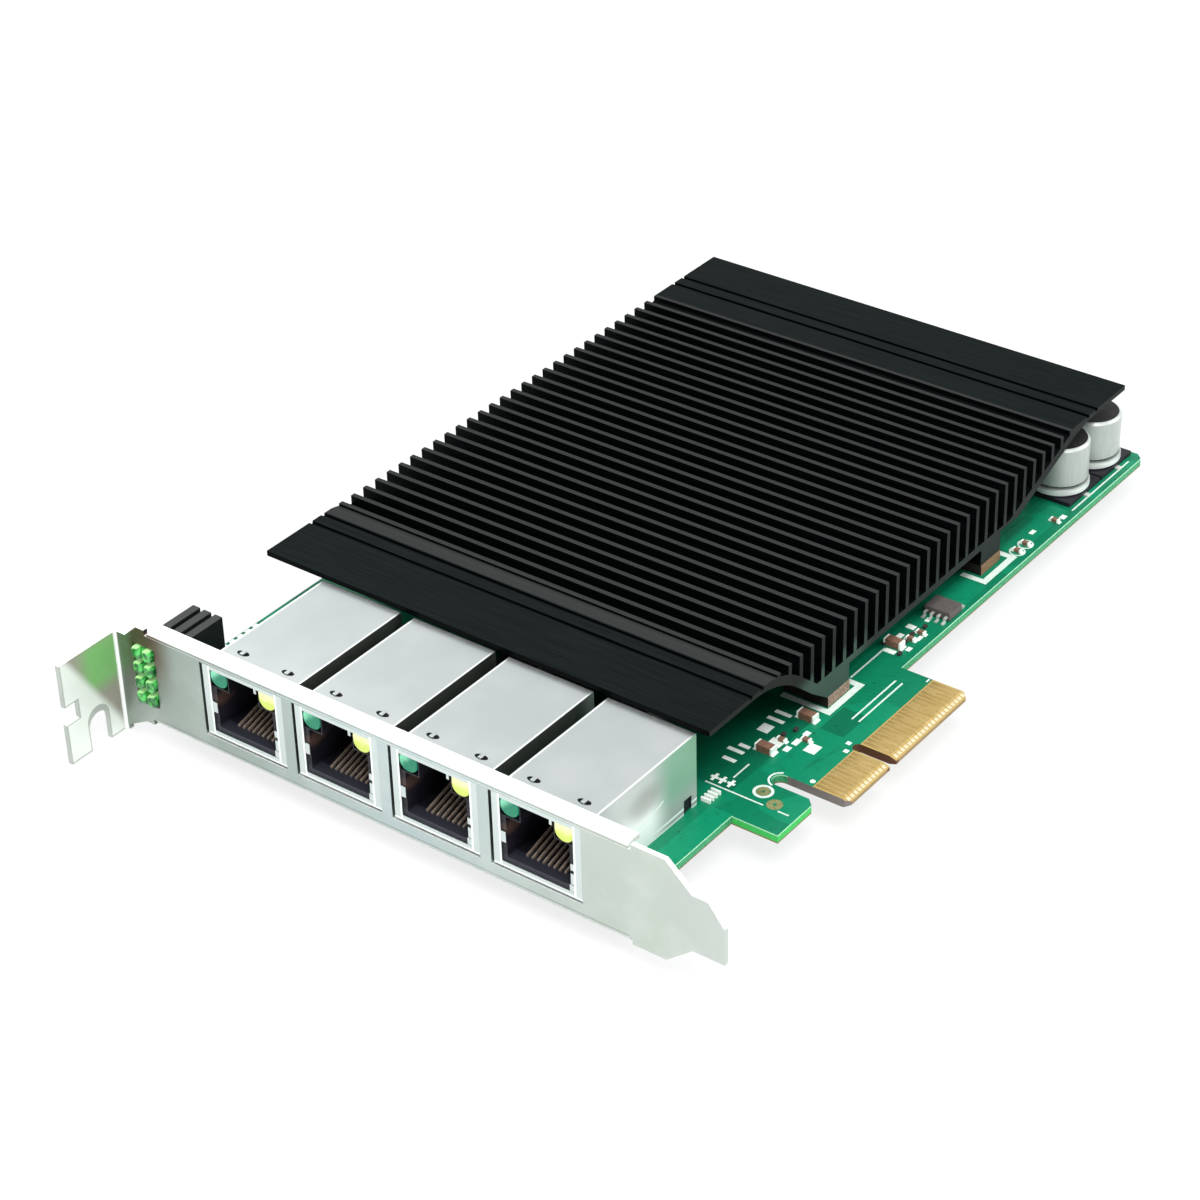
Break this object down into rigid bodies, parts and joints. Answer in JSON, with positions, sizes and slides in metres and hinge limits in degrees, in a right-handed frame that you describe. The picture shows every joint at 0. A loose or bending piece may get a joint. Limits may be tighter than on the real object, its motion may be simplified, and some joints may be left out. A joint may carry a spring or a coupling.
{
  "type": "network interface card",
  "caption": "Network interface card with a full-height bracket, shielded modular ports, a card-edge connector and a large finned heat sink.",
  "frame": {"origin": "centre of the card's footprint at the level of its lowest edge, the tab's lower edge", "axes": "+X from the bracket inwards along the card, +Y along the bracket towards its screw tab, +Z out of the component side"},
  "size_m": [0.1728, 0.12, 0.0216],
  "materials": {
    "bracket_steel": "zinc-plated sheet steel",
    "board_laminate": "glass-fibre laminate with green solder mask",
    "gold_plate": "gold plating on copper alloy",
    "black_plastic": "moulded black plastic",
    "green_lens": "clear green plastic",
    "yellow_lens": "clear yellow plastic",
    "black_anodised": "black anodised extrusion",
    "brown_gasket": "brown foam gasket",
    "zinc_screw": "zinc-plated steel",
    "chip_mould": "moulded epoxy",
    "soft_pad": "soft thermal pad",
    "can_aluminium": "drawn aluminium can",
    "tinned_lead": "tinned copper alloy",
    "ferrite_grey": "pressed ferrite",
    "brown_ceramic": "fired ceramic with tinned ends",
    "port_shield": "tinned sheet steel"
  },
  "bodies": {
    "root": {"activity_lights": "yellow_lens", "bracket": "bracket_steel", "bracket_screws": "zinc_screw", "capacitor_bases": "black_plastic", "capacitor_cans": "can_aluminium", "capacitor_leads": "tinned_lead", "ceramic_capacitors": "brown_ceramic", "chip_resistors": "brown_ceramic", "circuit_board": "board_laminate", "contacts_1": "gold_plate", "contacts_2": "gold_plate", "contacts_3": "gold_plate", "contacts_4": "gold_plate", "controllers": "chip_mould", "edge_contacts": "gold_plate", "heat_sink": "black_anodised", "insert_1": "black_plastic", "insert_2": "black_plastic", "insert_3": "black_plastic", "insert_4": "black_plastic", "light_holder": "black_plastic", "link_lights": "green_lens", "power_coils": "ferrite_grey", "regulator": "chip_mould", "regulator_leads": "tinned_lead", "shield_1": "port_shield", "shield_2": "port_shield", "shield_3": "port_shield", "shield_4": "port_shield", "sink_gaskets": "brown_gasket", "sink_screws": "zinc_screw", "status_lights": "green_lens", "thermal_pads": "soft_pad"}
  },
  "joints": []
}
